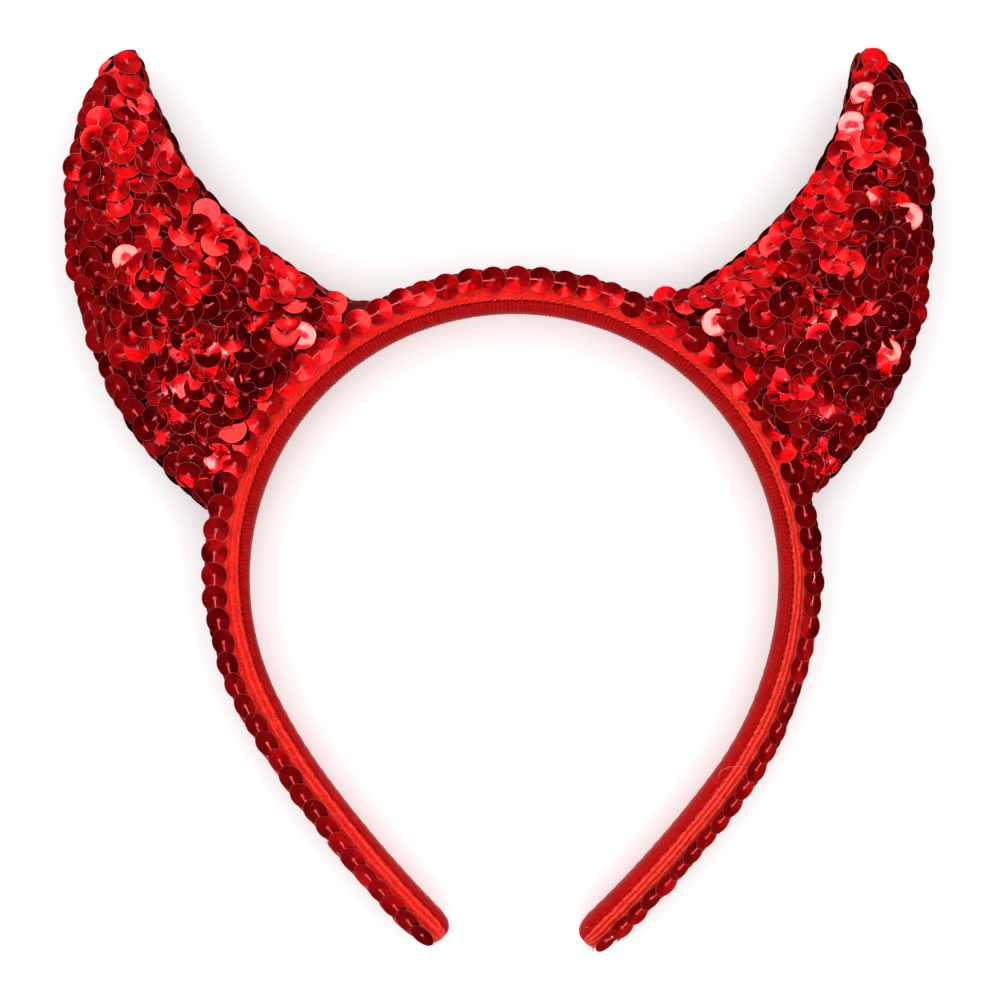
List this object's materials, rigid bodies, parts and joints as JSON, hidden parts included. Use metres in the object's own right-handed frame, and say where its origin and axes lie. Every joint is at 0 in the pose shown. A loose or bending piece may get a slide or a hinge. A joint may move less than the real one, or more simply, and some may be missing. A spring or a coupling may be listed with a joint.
{
  "type": "devil horns headband",
  "caption": "Springy headband wrapped in satin, edged with strings of cup sequins, with stuffed sequin-covered devil horns beside the crown, worn over the top of the head.",
  "frame": {"origin": "middle of the underside of the box round the headband as it lies on its back, on the surface it lies on", "axes": "+Z is the front, which faces up as it lies; +Y runs from the leg tips to the horn tips; +X is the right of the picture"},
  "size_m": [0.1938, 0.2008, 0.0213],
  "materials": {
    "satin_ribbon": "bright red satin ribbon, ribbed, with a soft sheen",
    "red_sequins": "metallic red foil under clear plastic, cupped discs",
    "horn_cloth": "red cloth under a close field of red sequins"
  },
  "bodies": {
    "root": {"satin_band": "satin_ribbon", "front_sequin_row": "red_sequins", "back_sequin_row": "red_sequins", "crown_sequin_row": "red_sequins", "left_leg_sequin_row": "red_sequins", "right_leg_sequin_row": "red_sequins", "left_horn": "horn_cloth", "right_horn": "horn_cloth"}
  },
  "joints": []
}
